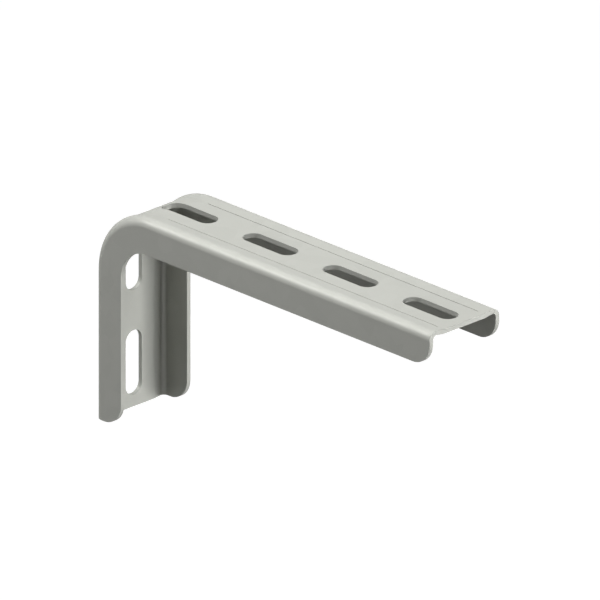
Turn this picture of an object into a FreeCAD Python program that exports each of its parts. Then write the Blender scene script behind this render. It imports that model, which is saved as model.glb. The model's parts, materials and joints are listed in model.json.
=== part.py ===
import FreeCAD, Part
import math
import os

from FreeCAD import Vector

# Cantilever bracket pressed from one sheet: a channel bent into an L, fixed to a wall by its leg.
# Frame: +X out from the wall along the arm, +Y across the width, +Z up, in millimetres.
# Origin: on the wall plane, halfway between the two wall slots, on the middle of the width.

# Overall sizes, measured over the outer faces
arm_length = 200.0
leg_height = 98.5
width = 40.5
flange_depth = 15.7

# Sheet and bends
sheet = 2.0
flange_bend_radius = 2.0
elbow_radius = 31.5
flange_corner_radius = 10.2
inner_corner_radius = 15.5

# Recessed strip along the middle of the web, with a fine pressed line at each side of it
recess_width = 23.5
recess_depth = 0.62
line_width = 0.3
line_depth = 0.3
line_runout = 4.0

# Slots along the arm for the load
arm_slot_width = 9.2
arm_slot_length = 29.4
arm_slot_count = 4
arm_slot_pitch = 47.8
arm_slot_from_tip = 20.2

# Slots in the leg for the wall bolts
wall_slot_width = 9.4
wall_slot_length = 29.2
wall_slot_count = 2
wall_slot_pitch = 47.3
wall_slot_from_end = 19.9

# Heights and places that follow from the sizes above
leg_end_z = -wall_slot_from_end - (wall_slot_count - 1) * wall_slot_pitch / 2
top_z = leg_end_z + leg_height
elbow_z = top_z - elbow_radius
outer_bend = flange_bend_radius + sheet
bend_across = width / 2 - outer_bend
recess_edge = recess_width / 2

# Straight lengths of the arm and leg, and the web's inner face, along which the slots are placed
arm_straight = arm_length - elbow_radius
leg_straight = elbow_z - leg_end_z
inner_face_depth = recess_depth + sheet
inner_face_radius = elbow_radius - inner_face_depth

# Spare material that the trimming takes off the flanges' edges and the channel's ends
untrimmed_flange = (flange_depth + elbow_radius) / 2
trim_allowance = 5.0

OUT, ACROSS, UP = Vector(1, 0, 0), Vector(0, 1, 0), Vector(0, 0, 1)


def shoulder_tilt():
    """Angle at which the web's shoulder climbs from the recess to meet the flange bend tangentially."""
    run = bend_across - recess_edge
    rise = outer_bend - recess_depth
    return math.atan2(run, rise) - math.acos(outer_bend / math.hypot(run, rise))


def half_outline(radius, depth):
    """One face of half the section, from the middle of the web to the flange's free edge.

    radius is that face's bend radius and depth its distance below the web's crown.
    Returns the points (across, depth): recess edge, bend start, bend middle, bend end, free edge.
    """
    tilt = shoulder_tilt()
    offset = outer_bend - radius
    middle = (math.pi / 2 - tilt) / 2

    def on_bend(angle):
        return bend_across + radius * math.sin(angle), outer_bend - radius * math.cos(angle)

    return [
        (recess_edge + offset * math.tan(tilt / 2), depth),
        on_bend(-tilt),
        on_bend(middle),
        on_bend(math.pi / 2),
        (bend_across + radius, untrimmed_flange),
    ]


def section_face(place):
    """The channel's section, drawn by place(across, depth) at one station of the path."""
    outer = half_outline(outer_bend, recess_depth)
    inner = half_outline(flange_bend_radius, inner_face_depth)
    edges = []

    def side_edges(points, side):
        recess, start, middle, end, free = [place(side * u, v) for u, v in points]
        edges.append(Part.LineSegment(recess, start).toShape())
        edges.append(Part.Arc(start, middle, end).toShape())
        edges.append(Part.LineSegment(end, free).toShape())
        return recess, free

    left_outer, right_outer = side_edges(outer, -1), side_edges(outer, 1)
    left_inner, right_inner = side_edges(inner, -1), side_edges(inner, 1)
    for a, b in (
        (left_outer[0], right_outer[0]),
        (left_inner[0], right_inner[0]),
        (left_outer[1], left_inner[1]),
        (right_outer[1], right_inner[1]),
    ):
        edges.append(Part.LineSegment(a, b).toShape())
    return Part.Face(Part.Wire(Part.sortEdges(edges)[0]))


def channel():
    """The bent channel before trimming, its flanges deeper and its ends longer than the bracket's."""
    arm_face = section_face(lambda across, depth: Vector(elbow_radius, across, top_z - depth))
    leg_face = section_face(lambda across, depth: Vector(depth, across, elbow_z))
    arm = arm_face.extrude(OUT * (arm_straight + trim_allowance))
    leg = leg_face.extrude(-UP * (leg_straight + trim_allowance))
    elbow = leg_face.revolve(Vector(elbow_radius, 0, elbow_z), ACROSS, 90)
    return arm.fuse([elbow, leg]).removeSplitter()


def side_profile():
    """The bracket's side view as a plate wider than the channel: flange edges and rounded corners."""
    flange_z = top_z - flange_depth
    end, inner, diagonal = flange_corner_radius, inner_corner_radius, math.sqrt(0.5)

    def at(x, z):
        return Vector(x, -width, z)

    def corner(turn_x, turn_z, radius, side_x, side_z):
        """Arc midpoint of a rounded corner, from its centre towards the given sides."""
        return at(turn_x + side_x * radius * diagonal, turn_z + side_z * radius * diagonal)

    tip_turn = (arm_length - end, flange_z + end)
    elbow_turn = (flange_depth + inner, flange_z - inner)
    foot_turn = (flange_depth - end, leg_end_z + end)
    straight = [
        (at(foot_turn[0], leg_end_z), at(0, leg_end_z)),
        (at(0, leg_end_z), at(0, top_z)),
        (at(0, top_z), at(arm_length, top_z)),
        (at(arm_length, top_z), at(arm_length, tip_turn[1])),
        (at(tip_turn[0], flange_z), at(elbow_turn[0], flange_z)),
        (at(flange_depth, elbow_turn[1]), at(flange_depth, foot_turn[1])),
    ]
    round_corners = [
        (straight[3][1], corner(*tip_turn, end, 1, -1), straight[4][0]),
        (straight[4][1], corner(*elbow_turn, inner, -1, 1), straight[5][0]),
        (straight[5][1], corner(*foot_turn, end, 1, -1), straight[0][0]),
    ]
    edges = [Part.LineSegment(a, b).toShape() for a, b in straight]
    edges += [Part.Arc(a, b, c).toShape() for a, b, c in round_corners]
    return Part.Face(Part.Wire(Part.sortEdges(edges)[0])).extrude(ACROSS * (2 * width))


def arm_station(run):
    """The web's inner face at a run from the arm's tip, round the elbow: the point, and outwards."""
    if run <= arm_straight:
        return Vector(arm_length - run, 0, top_z - inner_face_depth), UP
    angle = (run - arm_straight) / inner_face_radius
    outward = Vector(-math.sin(angle), 0, math.cos(angle))
    return Vector(elbow_radius, 0, elbow_z) + outward * inner_face_radius, outward


def leg_station(run):
    """The leg's inner face at a run up from its end, going on straight past the elbow's start."""
    return Vector(inner_face_depth, 0, leg_end_z + run), -OUT


def slot_cutter(station, middle, slot_width, slot_length):
    """One obround slot cut square through the sheet, with its middle at the given run."""
    radius = slot_width / 2
    reach = elbow_radius / 2
    first = middle - slot_length / 2 + radius
    last = middle + slot_length / 2 - radius
    parts = []
    for run in (first, last):
        point, outward = station(run)
        parts.append(Part.makeCylinder(radius, 2 * reach, point - outward * reach, outward))
    breaks = [first, arm_straight, last] if first < arm_straight < last else [first, last]
    for begin, end in zip(breaks, breaks[1:]):
        (point, outward), (end_point, end_outward) = station(begin), station(end)
        side, high = ACROSS * radius, outward * reach
        corners = [point - side - high, point + side - high, point + side + high, point - side + high]
        face = Part.Face(Part.makePolygon(corners + corners[:1]))
        if end_outward.isEqual(outward, 1e-9):
            parts.append(face.extrude(end_point - point))
        else:
            turn = math.degrees(outward.getAngle(end_outward))
            parts.append(face.revolve(Vector(elbow_radius, 0, elbow_z), -ACROSS, turn))
    return parts[0].fuse(parts[1:])


def line_cutter(start, end, outward):
    """A fine V groove pressed into the web's outer face from start to end."""
    half = ACROSS * (line_width / 2)
    profile = Part.makePolygon([
        start - half + outward * line_depth,
        start + half + outward * line_depth,
        start + half,
        start - outward * line_depth,
        start - half,
        start - half + outward * line_depth,
    ])
    return Part.Face(profile).extrude(end - start)


def build_bracket():
    cutters = []
    for i in range(arm_slot_count):
        middle = arm_slot_from_tip + i * arm_slot_pitch
        cutters.append(slot_cutter(arm_station, middle, arm_slot_width, arm_slot_length))
    for i in range(wall_slot_count):
        middle = wall_slot_from_end + i * wall_slot_pitch
        cutters.append(slot_cutter(leg_station, middle, wall_slot_width, wall_slot_length))
    for side in (-1, 1):
        arm_line = Vector(elbow_radius + line_runout, side * recess_edge, top_z - recess_depth)
        cutters.append(line_cutter(arm_line, arm_line + OUT * (arm_straight - 2 * line_runout), UP))
        leg_line = Vector(recess_depth, side * recess_edge, leg_end_z + line_runout)
        cutters.append(line_cutter(leg_line, leg_line + UP * (leg_straight - 2 * line_runout), -OUT))
    return channel().common(side_profile()).cut(cutters).Solids[0]


os.makedirs("parts", exist_ok=True)
bracket = build_bracket()
bracket.exportStep("parts/bracket.step")
box = bracket.optimalBoundingBox(False)
print("bracket:", "valid" if bracket.isValid() else "not valid", round(bracket.Volume, 1), "mm3")
print("size:", round(box.XLength, 3), round(box.YLength, 3), round(box.ZLength, 3))
print("box:", round(box.XMin, 3), round(box.YMin, 3), round(box.ZMin, 3))
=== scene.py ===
"""A galvanised cantilever bracket in a plain studio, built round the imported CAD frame."""

import json
import logging
import math
from dataclasses import dataclass
from enum import Enum
from typing import Any

import bpy
from mathutils import Matrix, Vector


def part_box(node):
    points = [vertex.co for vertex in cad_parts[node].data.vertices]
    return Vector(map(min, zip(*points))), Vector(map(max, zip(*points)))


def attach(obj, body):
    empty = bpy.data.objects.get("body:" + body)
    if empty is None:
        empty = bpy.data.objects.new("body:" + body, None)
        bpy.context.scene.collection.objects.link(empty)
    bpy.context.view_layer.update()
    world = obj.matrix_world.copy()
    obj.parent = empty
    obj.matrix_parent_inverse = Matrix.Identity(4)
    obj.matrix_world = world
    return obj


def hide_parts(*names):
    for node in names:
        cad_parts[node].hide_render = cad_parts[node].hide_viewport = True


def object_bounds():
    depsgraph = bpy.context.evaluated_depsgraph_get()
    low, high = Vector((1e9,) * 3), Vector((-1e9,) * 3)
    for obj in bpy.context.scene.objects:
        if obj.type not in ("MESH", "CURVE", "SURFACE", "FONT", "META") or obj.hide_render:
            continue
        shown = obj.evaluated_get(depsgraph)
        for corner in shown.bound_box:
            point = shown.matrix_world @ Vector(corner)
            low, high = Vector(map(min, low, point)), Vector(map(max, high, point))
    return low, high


LOG = logging.getLogger("bracket")
MM = 0.001

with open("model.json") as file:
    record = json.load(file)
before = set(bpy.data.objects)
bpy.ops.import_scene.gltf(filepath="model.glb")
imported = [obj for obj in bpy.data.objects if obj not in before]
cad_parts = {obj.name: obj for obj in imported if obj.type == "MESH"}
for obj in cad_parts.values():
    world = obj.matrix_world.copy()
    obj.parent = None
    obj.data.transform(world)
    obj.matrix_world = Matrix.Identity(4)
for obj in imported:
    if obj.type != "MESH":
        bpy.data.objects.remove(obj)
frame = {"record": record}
CAD_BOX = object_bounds()


def srgb(code: str) -> tuple[float, float, float, float]:
    """Turn an sRGB hex code into the linear colour that Blender's sockets take.

    Args:
        code: Six hex digits after a hash sign, such as "#c8c9c4".

    Returns:
        Linear red, green and blue, with an alpha of 1.
    """
    parts = [int(code[i:i + 2], 16) / 255 for i in (1, 3, 5)]
    linear = [p / 12.92 if p <= 0.04045 else ((p + 0.055) / 1.055) ** 2.4 for p in parts]
    return linear[0], linear[1], linear[2], 1.0


class MixSockets(Enum):
    """The Mix node's sockets for each kind of data, by number: the factor, the two ends, the result."""

    FLOAT = (0, 2, 3, 0)
    VECTOR = (0, 4, 5, 1)
    RGBA = (0, 6, 7, 2)


def add_node(
    tree: bpy.types.NodeTree,
    kind: str,
    settings: dict[str, Any] | None = None,
    links: dict[str | int, Any] | None = None,
) -> bpy.types.Node:
    """Add one node to a tree, with its settings and its inputs.

    Args:
        tree: The material, world or geometry tree.
        kind: The node's type name.
        settings: Properties of the node itself.
        links: For each input, by name or index, a socket to link or a value to set.

    Returns:
        The new node.
    """
    node = tree.nodes.new(kind)
    for name, value in (settings or {}).items():
        setattr(node, name, value)
    for key, source in (links or {}).items():
        if isinstance(source, bpy.types.NodeSocket):
            tree.links.new(source, node.inputs[key])
        else:
            node.inputs[key].default_value = source
    return node


def seen_directly(tree: bpy.types.NodeTree) -> bpy.types.NodeSocket:
    """Add the share of a surface's light that only the eye and reflections see.

    Args:
        tree: The material or world tree.

    Returns:
        A socket that is 1 for camera, glossy and transmission rays, and 0 for diffuse ones.
    """
    path = add_node(tree, "ShaderNodeLightPath")
    mirrored = add_node(tree, "ShaderNodeMath", {"operation": "MAXIMUM"}, {
        0: path.outputs["Is Glossy Ray"], 1: path.outputs["Is Transmission Ray"]})
    return add_node(tree, "ShaderNodeMath", {"operation": "MAXIMUM"}, {
        0: path.outputs["Is Camera Ray"], 1: mirrored.outputs[0]}).outputs[0]


def view_axes(azimuth: float, elevation: float) -> tuple[Vector, Vector, Vector]:
    """Work out the directions of a view that looks at the object from a bearing.

    Args:
        azimuth: Degrees round from the -Y side towards +X.
        elevation: Degrees above the horizontal.

    Returns:
        The picture's right, its up, and the direction from the object to the eye.
    """
    turn, lift = math.radians(azimuth), math.radians(elevation)
    right = Vector((math.cos(turn), math.sin(turn), 0))
    towards = Vector((math.sin(turn) * math.cos(lift), -math.cos(turn) * math.cos(lift), math.sin(lift)))
    return right, towards.cross(right), towards


class Axis(Enum):
    """The frame's axis that a row of slots runs along, by its number in a position."""

    OUT = 0
    UP = 2


class Mount(Enum):
    """The record's bolt patterns that the slots are placed by."""

    ARM = "arm_slots_tip"
    WALL = "wall_slots"

    def entry(self) -> dict[str, Any]:
        """Return the mount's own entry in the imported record."""
        return next(m for m in frame["record"]["mounts"] if m["name"] == self.value)


@dataclass(frozen=True)
class GalvanisedSteel:
    """Hot-dip galvanised steel sheet, pressed after dipping.

    The zinc gives the eye a pale grey skin with a broad dull sheen, faint crystals several
    millimetres across that differ a little in tone, and a fine matt grain. The real grain is
    finer than a pixel, so it is drawn coarser here. The sheen is the metal's own, with no clear
    film over it, so the specular level of the film is zero.
    """

    zinc: str = "#b4b5af"
    zinc_dull: str = "#b1b2ac"
    metallic: float = 0.16
    roughness: float = 0.42
    film_specular: float = 0.0
    crystal_mm: float = 7.0
    grain_mm: float = 0.5
    grain_detail: float = 2.0
    grain_height_mm: float = 0.004

    def build(self) -> bpy.types.Material:
        """Build the finish from the piece's own Object coordinates.

        Returns:
            The material.
        """
        material = bpy.data.materials.new("hot_dip_zinc")
        material.use_nodes = True
        tree = material.node_tree
        tree.nodes.clear()
        place = add_node(tree, "ShaderNodeTexCoord").outputs["Object"]
        crystals = add_node(tree, "ShaderNodeTexVoronoi", {}, {
            "Vector": place, "Scale": 1 / (self.crystal_mm * MM)})
        tone = add_node(tree, "ShaderNodeSeparateColor", {}, {"Color": crystals.outputs["Color"]})
        share, dull, bright, result = MixSockets.RGBA.value
        skin = add_node(tree, "ShaderNodeMix", {"data_type": MixSockets.RGBA.name}, {
            share: tone.outputs["Red"], dull: srgb(self.zinc_dull), bright: srgb(self.zinc)})
        grain = add_node(tree, "ShaderNodeTexNoise", {}, {
            "Vector": place, "Scale": 1 / (self.grain_mm * MM), "Detail": self.grain_detail})
        relief = add_node(tree, "ShaderNodeBump", {}, {
            "Height": grain.outputs["Fac"], "Distance": self.grain_height_mm * MM})
        surface = add_node(tree, "ShaderNodeBsdfPrincipled", {}, {
            "Base Color": skin.outputs[result], "Metallic": self.metallic,
            "Roughness": self.roughness, "Specular IOR Level": self.film_specular,
            "Normal": relief.outputs["Normal"]})
        add_node(tree, "ShaderNodeOutputMaterial", {}, {"Surface": surface.outputs[0]})
        return material


@dataclass(frozen=True)
class StudioPaper:
    """Matt white background paper, seen as plain white and still shaded by what stands over it."""

    colour: str = "#8c8c8c"
    seen_glow: float = 1.0

    def build(self) -> bpy.types.Material:
        """Build the paper, with a glow that only the eye and reflections see.

        Returns:
            The material.
        """
        material = bpy.data.materials.new("studio_paper")
        material.use_nodes = True
        tree = material.node_tree
        tree.nodes.clear()
        strength = add_node(tree, "ShaderNodeMath", {"operation": "MULTIPLY"}, {
            0: seen_directly(tree), 1: self.seen_glow})
        glow = add_node(tree, "ShaderNodeEmission", {}, {"Strength": strength.outputs[0]})
        paper = add_node(tree, "ShaderNodeBsdfDiffuse", {}, {"Color": srgb(self.colour)})
        both = add_node(tree, "ShaderNodeAddShader", {}, {0: paper.outputs[0], 1: glow.outputs[0]})
        add_node(tree, "ShaderNodeOutputMaterial", {}, {"Surface": both.outputs[0]})
        return material


@dataclass(frozen=True)
class SlotRow:
    """One row of like slots along the sheet, placed by a bolt pattern of the record."""

    mount: Mount
    count: int
    axis: Axis

    def size(self, key: str) -> float:
        """Return one of the pattern's stated sizes, in metres."""
        return self.mount.entry()["dims"][key] * MM

    @property
    def width(self) -> float:
        """The slots' width."""
        return 2 * self.size("hole_r_mm")

    @property
    def length(self) -> float:
        """The slots' length over their round ends."""
        return self.size("slot_length_mm")

    @property
    def pitch(self) -> float:
        """The distance from slot to slot."""
        return self.size("spacing_x_mm" if self.axis is Axis.OUT else "spacing_y_mm")

    @property
    def outermost(self) -> float:
        """The coordinate, along the row, of the slot furthest from the elbow."""
        middle = self.mount.entry()["pos_m"][self.axis.value]
        return middle + self.pitch / 2 if self.axis is Axis.OUT else middle - self.pitch / 2


@dataclass
class PressedBracket:
    """The bracket: a channel blanked and punched flat, then bent into an L.

    Sizes are in metres. The overall ones come from the frame. The flat blank lies along X with
    its web up. Its arm is already in place, and its leg lies on past the elbow, as a run along
    the web's inner face, until the bend turns it down.

    The two line widths are the near line's and the far line's. The lines run out a little way
    before the sheet's ends and the elbow. The blank is made larger than its outline by the
    spare, and trimmed. The steps are the distances between the mesh's points, narrow enough
    that the elbow bends smoothly. An edge that turns by more than the crease stays crisp.
    """

    node: str = "bracket"
    sheet: float = 2.0 * MM
    bend_inner: float = 2.0 * MM
    elbow_radius: float = 31.0 * MM
    flange_depth: float = 15.7 * MM
    corner_radius: float = 10.2 * MM
    recess_width: float = 23.5 * MM
    recess_depth: float = 0.62 * MM
    recess_step: float = 1.2 * MM
    line_widths: tuple[float, float] = (0.32 * MM, 0.36 * MM)
    line_depth: float = 0.3 * MM
    line_runout: float = 4.0 * MM
    spare: float = 3.0 * MM
    ring_step: float = 1.0 * MM
    outline_step: float = 0.6 * MM
    bend_steps: int = 18
    corner_steps: int = 24
    crease_degrees: float = 7.0
    arm_slots: SlotRow = SlotRow(Mount.ARM, 4, Axis.OUT)
    wall_slots: SlotRow = SlotRow(Mount.WALL, 2, Axis.UP)

    def __post_init__(self) -> None:
        """Take the overall sizes from the frame, and work out what follows from them."""
        low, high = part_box(self.node)
        self.arm_end, self.top, self.leg_foot = high.x, high.z, low.z
        self.half_width = high.y
        self.bend_outer = self.bend_inner + self.sheet
        self.bend_across = self.half_width - self.bend_outer
        self.recess_edge = self.recess_width / 2
        self.elbow_height = self.top - self.elbow_radius
        self.inner_radius = self.elbow_radius - self.recess_depth - self.sheet
        self.elbow_run = self.inner_radius * math.pi / 2
        self.leg_start = self.elbow_radius - self.elbow_run
        self.blank_end = self.leg_start - (self.elbow_height - self.leg_foot)

    def shoulder_tilt(self) -> float:
        """Return the angle of the web's shoulder, from the recess up to the bend, in radians."""
        run = self.bend_across - self.recess_edge
        rise = self.bend_outer - self.recess_depth
        return math.atan2(run, rise) - math.acos(self.bend_outer / math.hypot(run, rise))

    def half_section(self, radius: float, depth: float) -> list[tuple[float, float]]:
        """List one face of half the section, from the web's middle to the flange's free edge.

        Args:
            radius: That face's bend radius.
            depth: The depth of that face of the recess below the web's crown.

        Returns:
            Points as (across, depth), with the flange a little deeper than it ends up.
        """
        tilt = self.shoulder_tilt()
        edge = self.recess_edge + (self.bend_outer - radius) * math.tan(tilt / 2)
        bend = []
        for step in range(self.bend_steps + 1):
            angle = -tilt + (math.pi / 2 + tilt) * step / self.bend_steps
            across = self.bend_across + radius * math.sin(angle)
            bend.append((across, self.bend_outer - radius * math.cos(angle)))
        recess = self.divided((0.0, depth), (edge, depth))
        shoulder = self.divided((edge, depth), bend[0])
        return recess + shoulder + bend + [(self.bend_across + radius, self.flange_depth + self.spare)]

    def divided(self, start: tuple[float, float], end: tuple[float, float]) -> list[tuple[float, float]]:
        """Divide a straight run of the section evenly, leaving its end out."""
        count = math.ceil(math.dist(start, end) / self.recess_step)
        return [(start[0] + (end[0] - start[0]) * i / count, start[1] + (end[1] - start[1]) * i / count)
                for i in range(count)]

    def section_mesh(self, finish: bpy.types.Material) -> bpy.types.Mesh:
        """Draw the channel's section as one closed ring of edges.

        Args:
            finish: The material that the sheet wears.

        Returns:
            A mesh with the section in its XY plane, across along X and depth along Y.
        """
        outer = self.half_section(self.bend_outer, self.recess_depth)
        inner = self.half_section(self.bend_inner, self.recess_depth + self.sheet)
        right = outer + inner[::-1]
        left = [(-across, depth) for across, depth in inner[1:] + outer[:0:-1]]
        ring = [(across, depth, 0.0) for across, depth in right + left]
        edges = [(i, (i + 1) % len(ring)) for i in range(len(ring))]
        mesh = bpy.data.meshes.new("section")
        mesh.from_pydata(ring, edges, [])
        mesh.materials.append(finish)
        return mesh

    def tree_inputs(self, finish: bpy.types.Material) -> dict[str, tuple[str, Any]]:
        """Name the inputs of the blank's tree, with their kinds and values.

        Args:
            finish: The material that the tree sets.

        Returns:
            For each input's name, its socket kind and its value.
        """
        low, high = self.blank_end - self.spare, self.arm_end + self.spare
        # The outline reaches well above the web, so that it rounds the flanges' corners only.
        slab_top = self.top + 2 * self.corner_radius
        slab_bottom = self.top - self.flange_depth
        arm, wall = self.arm_slots, self.wall_slots
        wall_first = self.blank_end + (wall.outermost - self.leg_foot)
        line_level = self.top - self.recess_depth
        arm_line = (self.elbow_radius + self.line_runout, self.arm_end - self.line_runout)
        leg_line = (self.blank_end + self.line_runout, self.leg_start - self.line_runout)
        # The line tools are made this wide, and each is then scaled to its own line's width.
        tool_width = 1.0
        near_scale, far_scale = (width / tool_width for width in self.line_widths)
        number, vector, whole = "NodeSocketFloat", "NodeSocketVector", "NodeSocketInt"
        return {
            "Blank Start": (vector, (low, 0, self.top)),
            "Blank End": (vector, (high, 0, self.top)),
            "Rings": (whole, round((high - low) / self.ring_step)),
            "Outline Length": (number, self.arm_end - self.blank_end),
            "Outline Height": (number, slab_top - slab_bottom),
            "Outline Middle": (vector, ((self.arm_end + self.blank_end) / 2, 0,
                                        (slab_top + slab_bottom) / 2)),
            "Outline Depth": (vector, (0, 0, 2 * self.half_width)),
            "Corner Radius": (number, self.corner_radius),
            "Corner Steps": (whole, self.corner_steps),
            "Outline Step": (number, self.outline_step),
            "Punch Reach": (vector, (0, 0, 2 * self.bend_outer)),
            "Arm Slot Length": (number, arm.length),
            "Arm Slot Width": (number, arm.width),
            "Arm Slot Count": (whole, arm.count),
            "Arm Slot First": (vector, (arm.outermost, 0, self.top)),
            "Arm Slot Step": (vector, (-arm.pitch, 0, 0)),
            "Wall Slot Length": (number, wall.length),
            "Wall Slot Width": (number, wall.width),
            "Wall Slot Count": (whole, wall.count),
            "Wall Slot First": (vector, (wall_first, 0, self.top)),
            "Wall Slot Step": (vector, (wall.pitch, 0, 0)),
            "Line Pair First": (vector, (0, -self.recess_edge, line_level)),
            "Line Pair Step": (vector, (0, 2 * self.recess_edge, 0)),
            "Arm Line Middle": (vector, (sum(arm_line) / 2, 0, 0)),
            "Arm Line Size": (vector, (arm_line[1] - arm_line[0], tool_width, 2 * self.line_depth)),
            "Leg Line Middle": (vector, (sum(leg_line) / 2, 0, 0)),
            "Leg Line Size": (vector, (leg_line[1] - leg_line[0], tool_width, 2 * self.line_depth)),
            "Near Line Scale": (vector, (1.0, near_scale, 1.0)),
            "Far Line Scale": (vector, (1.0, far_scale, 1.0)),
            "Elbow Radius": (number, self.elbow_radius),
            "Elbow Height": (number, self.elbow_height),
            "Inner Radius": (number, self.inner_radius),
            "Crease": (number, math.radians(self.crease_degrees)),
            "Finish": ("NodeSocketMaterial", finish),
        }

    def prism(self, tree: bpy.types.NodeTree, size: dict[str, bpy.types.NodeSocket],
              outline: bpy.types.NodeSocket, reach: bpy.types.NodeSocket) -> bpy.types.NodeSocket:
        """Add a prism of a closed outline, with narrow sides that bend as the sheet does.

        Args:
            tree: The blank's tree.
            size: The tree's inputs by name.
            outline: The closed curve, in its XY plane.
            reach: How far the prism goes up, and as far down.

        Returns:
            The socket with the closed prism.
        """
        even = add_node(tree, "GeometryNodeResampleCurve", {"mode": "LENGTH"}, {
            "Curve": outline, "Length": size["Outline Step"]})
        below = add_node(tree, "ShaderNodeVectorMath", {"operation": "SCALE"}, {0: reach, "Scale": -1.0})
        axis = add_node(tree, "GeometryNodeCurvePrimitiveLine", {}, {
            "Start": below.outputs[0], "End": reach})
        return add_node(tree, "GeometryNodeCurveToMesh", {}, {
            "Curve": axis.outputs[0], "Profile Curve": even.outputs[0], "Fill Caps": True}).outputs[0]

    def punches(self, tree: bpy.types.NodeTree, size: dict[str, bpy.types.NodeSocket],
                row: str) -> bpy.types.NodeSocket:
        """Add the punches for one row of slots: one obround bar, repeated along the blank.

        Args:
            tree: The blank's tree.
            size: The tree's inputs by name.
            row: The row's name in the inputs, "Arm" or "Wall".

        Returns:
            The socket with the row's punches.
        """
        radius = add_node(tree, "ShaderNodeMath", {"operation": "MULTIPLY"}, {
            0: size[f"{row} Slot Width"], 1: 0.5})
        outline = add_node(tree, "GeometryNodeCurvePrimitiveQuadrilateral", {}, {
            "Width": size[f"{row} Slot Length"], "Height": size[f"{row} Slot Width"]})
        rounded = add_node(tree, "GeometryNodeFilletCurve", {"mode": "POLY"}, {
            "Curve": outline.outputs[0], "Count": size["Corner Steps"],
            "Radius": radius.outputs[0], "Limit Radius": True})
        bar = self.prism(tree, size, rounded.outputs[0], size["Punch Reach"])
        places = add_node(tree, "GeometryNodeMeshLine", {}, {
            "Count": size[f"{row} Slot Count"], "Start Location": size[f"{row} Slot First"],
            "Offset": size[f"{row} Slot Step"]})
        return add_node(tree, "GeometryNodeInstanceOnPoints", {}, {
            "Points": places.outputs[0], "Instance": bar}).outputs[0]

    def line_tools(self, tree: bpy.types.NodeTree, size: dict[str, bpy.types.NodeSocket],
                   place: str) -> bpy.types.NodeSocket:
        """Add the pair of long narrow tools that press the fine lines beside the recess.

        Args:
            tree: The blank's tree.
            size: The tree's inputs by name.
            place: The pair's name in the inputs, "Arm" or "Leg".

        Returns:
            The socket with the pair.
        """
        bar = add_node(tree, "GeometryNodeMeshCube", {}, {"Size": size[f"{place} Line Size"]})
        edge = add_node(tree, "GeometryNodeTransform", {}, {
            "Geometry": bar.outputs["Mesh"], "Translation": size[f"{place} Line Middle"]})
        places = add_node(tree, "GeometryNodeMeshLine", {}, {
            "Count": 2, "Start Location": size["Line Pair First"], "Offset": size["Line Pair Step"]})
        which = add_node(tree, "GeometryNodeInputIndex")
        share, near, far, result = MixSockets.VECTOR.value
        scale = add_node(tree, "ShaderNodeMix", {"data_type": MixSockets.VECTOR.name}, {
            share: which.outputs[0], near: size["Near Line Scale"], far: size["Far Line Scale"]})
        return add_node(tree, "GeometryNodeInstanceOnPoints", {}, {
            "Points": places.outputs[0], "Instance": edge.outputs[0],
            "Scale": scale.outputs[result]}).outputs[0]

    def bent_place(self, tree: bpy.types.NodeTree,
                   size: dict[str, bpy.types.NodeSocket]) -> bpy.types.NodeSocket:
        """Add the rule of the bend: where a point of the flat blank goes in the L.

        Args:
            tree: The blank's tree.
            size: The tree's inputs by name.

        Returns:
            The socket with the bent position.
        """
        here = add_node(tree, "GeometryNodeInputPosition")
        flat = add_node(tree, "ShaderNodeSeparateXYZ", {}, {0: here.outputs[0]}).outputs
        terms: dict[str, Any] = {
            "along": flat["X"], "level": flat["Z"], "elbow start": size["Elbow Radius"],
            "elbow height": size["Elbow Height"], "inner radius": size["Inner Radius"],
            "nothing": 0.0, "quarter turn": math.pi / 2}
        # Each sum has a name, an operation and its terms, which may be the sums before it.
        sums = (
            ("past the start", "SUBTRACT", "elbow start", "along"),
            ("run", "MAXIMUM", "past the start", "nothing"),
            ("turn", "DIVIDE", "run", "inner radius"),
            ("angle", "MINIMUM", "turn", "quarter turn"),
            ("bent run", "MULTIPLY", "angle", "inner radius"),
            ("leg run", "SUBTRACT", "run", "bent run"),
            ("radius", "SUBTRACT", "level", "elbow height"),
            ("sine", "SINE", "angle"),
            ("cosine", "COSINE", "angle"),
            ("back", "MULTIPLY", "radius", "sine"),
            ("rise", "MULTIPLY", "radius", "cosine"),
            ("arm run", "MAXIMUM", "along", "elbow start"),
            ("out", "SUBTRACT", "arm run", "back"),
            ("bent level", "ADD", "elbow height", "rise"),
            ("up", "SUBTRACT", "bent level", "leg run"),
        )
        for name, operation, *used in sums:
            values = {place: terms[term] for place, term in enumerate(used)}
            terms[name] = add_node(tree, "ShaderNodeMath", {"operation": operation}, values).outputs[0]
        return add_node(tree, "ShaderNodeCombineXYZ", {}, {
            "X": terms["out"], "Y": flat["Y"], "Z": terms["up"]}).outputs[0]

    def build_tree(self, inputs: dict[str, tuple[str, Any]]) -> bpy.types.NodeTree:
        """Build the tree that turns the section into the bracket.

        Args:
            inputs: The named inputs, as tree_inputs gives them.

        Returns:
            The geometry tree.
        """
        tree = bpy.data.node_groups.new("pressed_bracket", "GeometryNodeTree")
        tree.interface.new_socket("Section", in_out="INPUT", socket_type="NodeSocketGeometry")
        for name, (kind, _) in inputs.items():
            tree.interface.new_socket(name, in_out="INPUT", socket_type=kind)
        tree.interface.new_socket("Bracket", in_out="OUTPUT", socket_type="NodeSocketGeometry")
        size = add_node(tree, "NodeGroupInput").outputs

        path = add_node(tree, "GeometryNodeCurvePrimitiveLine", {}, {
            "Start": size["Blank Start"], "End": size["Blank End"]})
        rings = add_node(tree, "GeometryNodeResampleCurve", {}, {
            "Curve": path.outputs[0], "Count": size["Rings"]})
        section = add_node(tree, "GeometryNodeMeshToCurve", {}, {"Mesh": size["Section"]})
        channel = add_node(tree, "GeometryNodeCurveToMesh", {}, {
            "Curve": rings.outputs[0], "Profile Curve": section.outputs[0], "Fill Caps": True})

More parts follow.
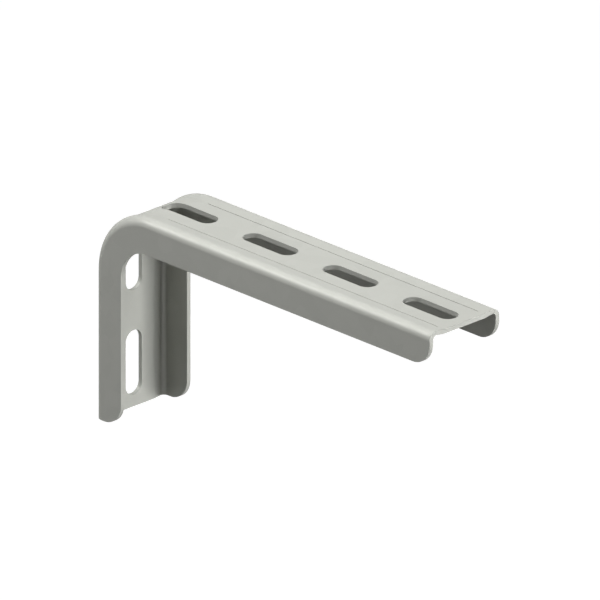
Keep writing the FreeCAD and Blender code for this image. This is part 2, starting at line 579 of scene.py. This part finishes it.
        side = add_node(tree, "GeometryNodeCurvePrimitiveQuadrilateral", {}, {
            "Width": size["Outline Length"], "Height": size["Outline Height"]})
        rounded = add_node(tree, "GeometryNodeFilletCurve", {"mode": "POLY"}, {
            "Curve": side.outputs[0], "Count": size["Corner Steps"], "Radius": size["Corner Radius"]})
        slab = self.prism(tree, size, rounded.outputs[0], size["Outline Depth"])
        placed = add_node(tree, "GeometryNodeTransform", {}, {
            "Geometry": slab, "Translation": size["Outline Middle"],
            "Rotation": (math.pi / 2, 0.0, 0.0)})
        blank = add_node(tree, "GeometryNodeMeshBoolean", {"operation": "INTERSECT", "solver": "EXACT"})
        for mesh in (channel, placed):
            tree.links.new(mesh.outputs[0], blank.inputs["Mesh 2"])

        cutters = [self.punches(tree, size, row) for row in ("Arm", "Wall")]
        cutters += [self.line_tools(tree, size, place) for place in ("Arm", "Leg")]
        tools = add_node(tree, "GeometryNodeJoinGeometry")
        for cutter in cutters:
            tree.links.new(cutter, tools.inputs[0])
        solid = add_node(tree, "GeometryNodeRealizeInstances", {}, {"Geometry": tools.outputs[0]})
        punched = add_node(tree, "GeometryNodeMeshBoolean", {
            "operation": "DIFFERENCE", "solver": "EXACT"}, {
            "Mesh 1": blank.outputs[0], "Mesh 2": solid.outputs[0]})

        bent = add_node(tree, "GeometryNodeSetPosition", {}, {
            "Geometry": punched.outputs[0], "Position": self.bent_place(tree, size)})
        turn = add_node(tree, "GeometryNodeInputMeshEdgeAngle")
        gentle = add_node(tree, "ShaderNodeMath", {"operation": "LESS_THAN"}, {
            0: turn.outputs["Unsigned Angle"], 1: size["Crease"]})
        faces = add_node(tree, "GeometryNodeSetShadeSmooth", {"domain": "FACE"}, {
            "Geometry": bent.outputs[0], "Shade Smooth": True})
        edges = add_node(tree, "GeometryNodeSetShadeSmooth", {"domain": "EDGE"}, {
            "Geometry": faces.outputs[0], "Shade Smooth": gentle.outputs[0]})
        real = add_node(tree, "GeometryNodeRealizeInstances", {}, {"Geometry": edges.outputs[0]})
        dressed = add_node(tree, "GeometryNodeSetMaterial", {}, {
            "Geometry": real.outputs[0], "Material": size["Finish"]})
        add_node(tree, "NodeGroupOutput", {}, {0: dressed.outputs[0]})
        return tree

    def build(self, finish: bpy.types.Material) -> bpy.types.Object:
        """Make the bracket as one plain mesh, and let it stand for its CAD node.

        Args:
            finish: The zinc finish that it wears.

        Returns:
            The finished piece.
        """
        inputs = self.tree_inputs(finish)
        tree = self.build_tree(inputs)
        piece = bpy.data.objects.new("pressed_bracket", self.section_mesh(finish))
        bpy.context.scene.collection.objects.link(piece)
        maker = piece.modifiers.new("make", "NODES")
        maker.node_group = tree
        for socket in tree.interface.items_tree:
            if socket.name in inputs:
                maker[socket.identifier] = inputs[socket.name][1]
        shading = piece.modifiers.new("even_shading", "WEIGHTED_NORMAL")
        shading.keep_sharp = True
        bpy.context.view_layer.update()
        evaluated = piece.evaluated_get(bpy.context.evaluated_depsgraph_get())
        mesh = bpy.data.meshes.new_from_object(evaluated)
        mesh.name = "pressed_bracket"
        mesh.materials.clear()
        mesh.materials.append(finish)
        piece.modifiers.clear()
        piece.data = mesh
        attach(piece, "root")
        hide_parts(self.node)
        return piece


@dataclass(frozen=True)
class SoftBox:
    """A studio lamp with a soft front and a grid over it, aimed at the object.

    Its bearing and spread are in degrees, its power in watts, its side and distance in metres.
    """

    name: str
    azimuth: float
    elevation: float
    power: float
    side: float = 0.7
    distance: float = 1.6
    spread: float = 60.0

    def build(self, target: Vector) -> bpy.types.Object:
        """Hang the lamp where its bearing says, facing the target.

        Args:
            target: The point that it faces.

        Returns:
            The lamp.
        """
        data = bpy.data.lights.new(self.name, "AREA")
        data.shape = "SQUARE"
        data.size = self.side
        data.energy = self.power
        data.spread = math.radians(self.spread)
        lamp = bpy.data.objects.new(self.name, data)
        right, up, towards = view_axes(self.azimuth, self.elevation)
        place = target + towards * self.distance
        turn = Matrix((right, up, towards)).transposed().to_4x4()
        lamp.matrix_world = Matrix.Translation(place) @ turn
        bpy.context.scene.collection.objects.link(lamp)
        return lamp


@dataclass
class Studio:
    """The floor, the room and the lamps. Lengths are in metres."""

    floor_level: float = -0.5
    floor_side: float = 4.0
    room_light: float = 0.02
    room_seen: float = 1.0
    room_colour: str = "#ffffff"
    lamps: tuple[SoftBox, ...] = (
        SoftBox("above", 0, 75, 2.24),
        SoftBox("above_front", 45, 60, 0.3, 0.5),
        SoftBox("above_right", 90, 50, 0.39, 0.35),
        SoftBox("above_left", 270, 60, 0.55, 0.5),
        SoftBox("left", 305, 38, 0.85, 0.35),
        SoftBox("left_front", 320, 30, 0.26, 0.5),
        SoftBox("right_back", 135, 0, 1.23, 0.35),
        SoftBox("right", 120, 0, 1.0, 0.35),
        SoftBox("right_high", 105, 24, 0.75, 0.35),
        SoftBox("right_front", 90, 12, 0.14, 0.35),
    )

    def build_floor(self) -> bpy.types.Object:
        """Lay the pale floor, well below the bracket, which hangs on its wall bolts.

        Returns:
            The floor.
        """
        half = self.floor_side / 2
        corners = [(-half, -half), (half, -half), (half, half), (-half, half)]
        mesh = bpy.data.meshes.new("floor")
        mesh.from_pydata([(x, y, self.floor_level) for x, y in corners], [], [(0, 1, 2, 3)])
        floor = bpy.data.objects.new("floor", mesh)
        bpy.context.scene.collection.objects.link(floor)
        mesh.materials.append(StudioPaper().build())
        return floor

    def build_room(self) -> None:
        """Light the room evenly, and show it as plain white to the eye and to reflections."""
        world = bpy.data.worlds.new("studio_room")
        bpy.context.scene.world = world
        world.use_nodes = True
        tree = world.node_tree
        tree.nodes.clear()
        share, light, seen, result = MixSockets.FLOAT.value
        strength = add_node(tree, "ShaderNodeMix", {"data_type": MixSockets.FLOAT.name}, {
            share: seen_directly(tree), light: self.room_light, seen: self.room_seen})
        room = add_node(tree, "ShaderNodeBackground", {}, {
            "Color": srgb(self.room_colour), "Strength": strength.outputs[result]})
        add_node(tree, "ShaderNodeOutputWorld", {}, {"Surface": room.outputs[0]})

    def build(self, target: Vector) -> None:
        """Set up the floor, the room and the lamps.

        Args:
            target: The point that the lamps face.
        """
        self.build_floor()
        self.build_room()
        for lamp in self.lamps:
            lamp.build(target)


@dataclass
class ParallelCamera:
    """The photograph's parallel view, placed by the top corner where the near side meets the wall.

    The bearing is in degrees. The corner's pixel counts from the picture's top left.
    """

    azimuth: float = 45.72
    elevation: float = 22.87
    pixels_per_mm: float = 2.3993
    picture_side: int = 600
    corner_pixel: tuple[float, float] = (94.16, 199.32)
    distance: float = 1.2

    def build(self) -> bpy.types.Object:
        """Place the camera so that the CAD box's corner falls on its pixel.

        Returns:
            The camera, set as the scene's own.
        """
        low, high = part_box("bracket")
        corner = Vector((low.x, low.y, high.z))
        right, up, towards = view_axes(self.azimuth, self.elevation)
        middle = (self.picture_side - 1) / 2
        pixel = MM / self.pixels_per_mm
        centre = corner + right * (middle - self.corner_pixel[0]) * pixel
        centre -= up * (middle - self.corner_pixel[1]) * pixel
        data = bpy.data.cameras.new("camera")
        data.type = "ORTHO"
        data.ortho_scale = self.picture_side * pixel
        camera = bpy.data.objects.new("camera", data)
        turn = Matrix((right, up, towards)).transposed().to_4x4()
        camera.matrix_world = Matrix.Translation(centre + towards * self.distance) @ turn
        bpy.context.scene.collection.objects.link(camera)
        bpy.context.scene.camera = camera
        return camera


def main() -> None:
    """Build the camera, the bracket and the studio."""
    logging.basicConfig(level=logging.INFO)
    bpy.context.scene.view_settings.view_transform = "Standard"
    camera = ParallelCamera().build()
    LOG.info("%s: parallel view", camera.name)
    bracket = PressedBracket().build(GalvanisedSteel().build())
    mesh = bracket.data
    LOG.info("%s: %d vertices, %d faces", bracket.name, len(mesh.vertices), len(mesh.polygons))
    low, high = CAD_BOX
    studio = Studio()
    studio.build((Vector(low) + Vector(high)) / 2)
    LOG.info("studio: a floor and %d lamps", len(studio.lamps))


if __name__ == "__main__":
    main()
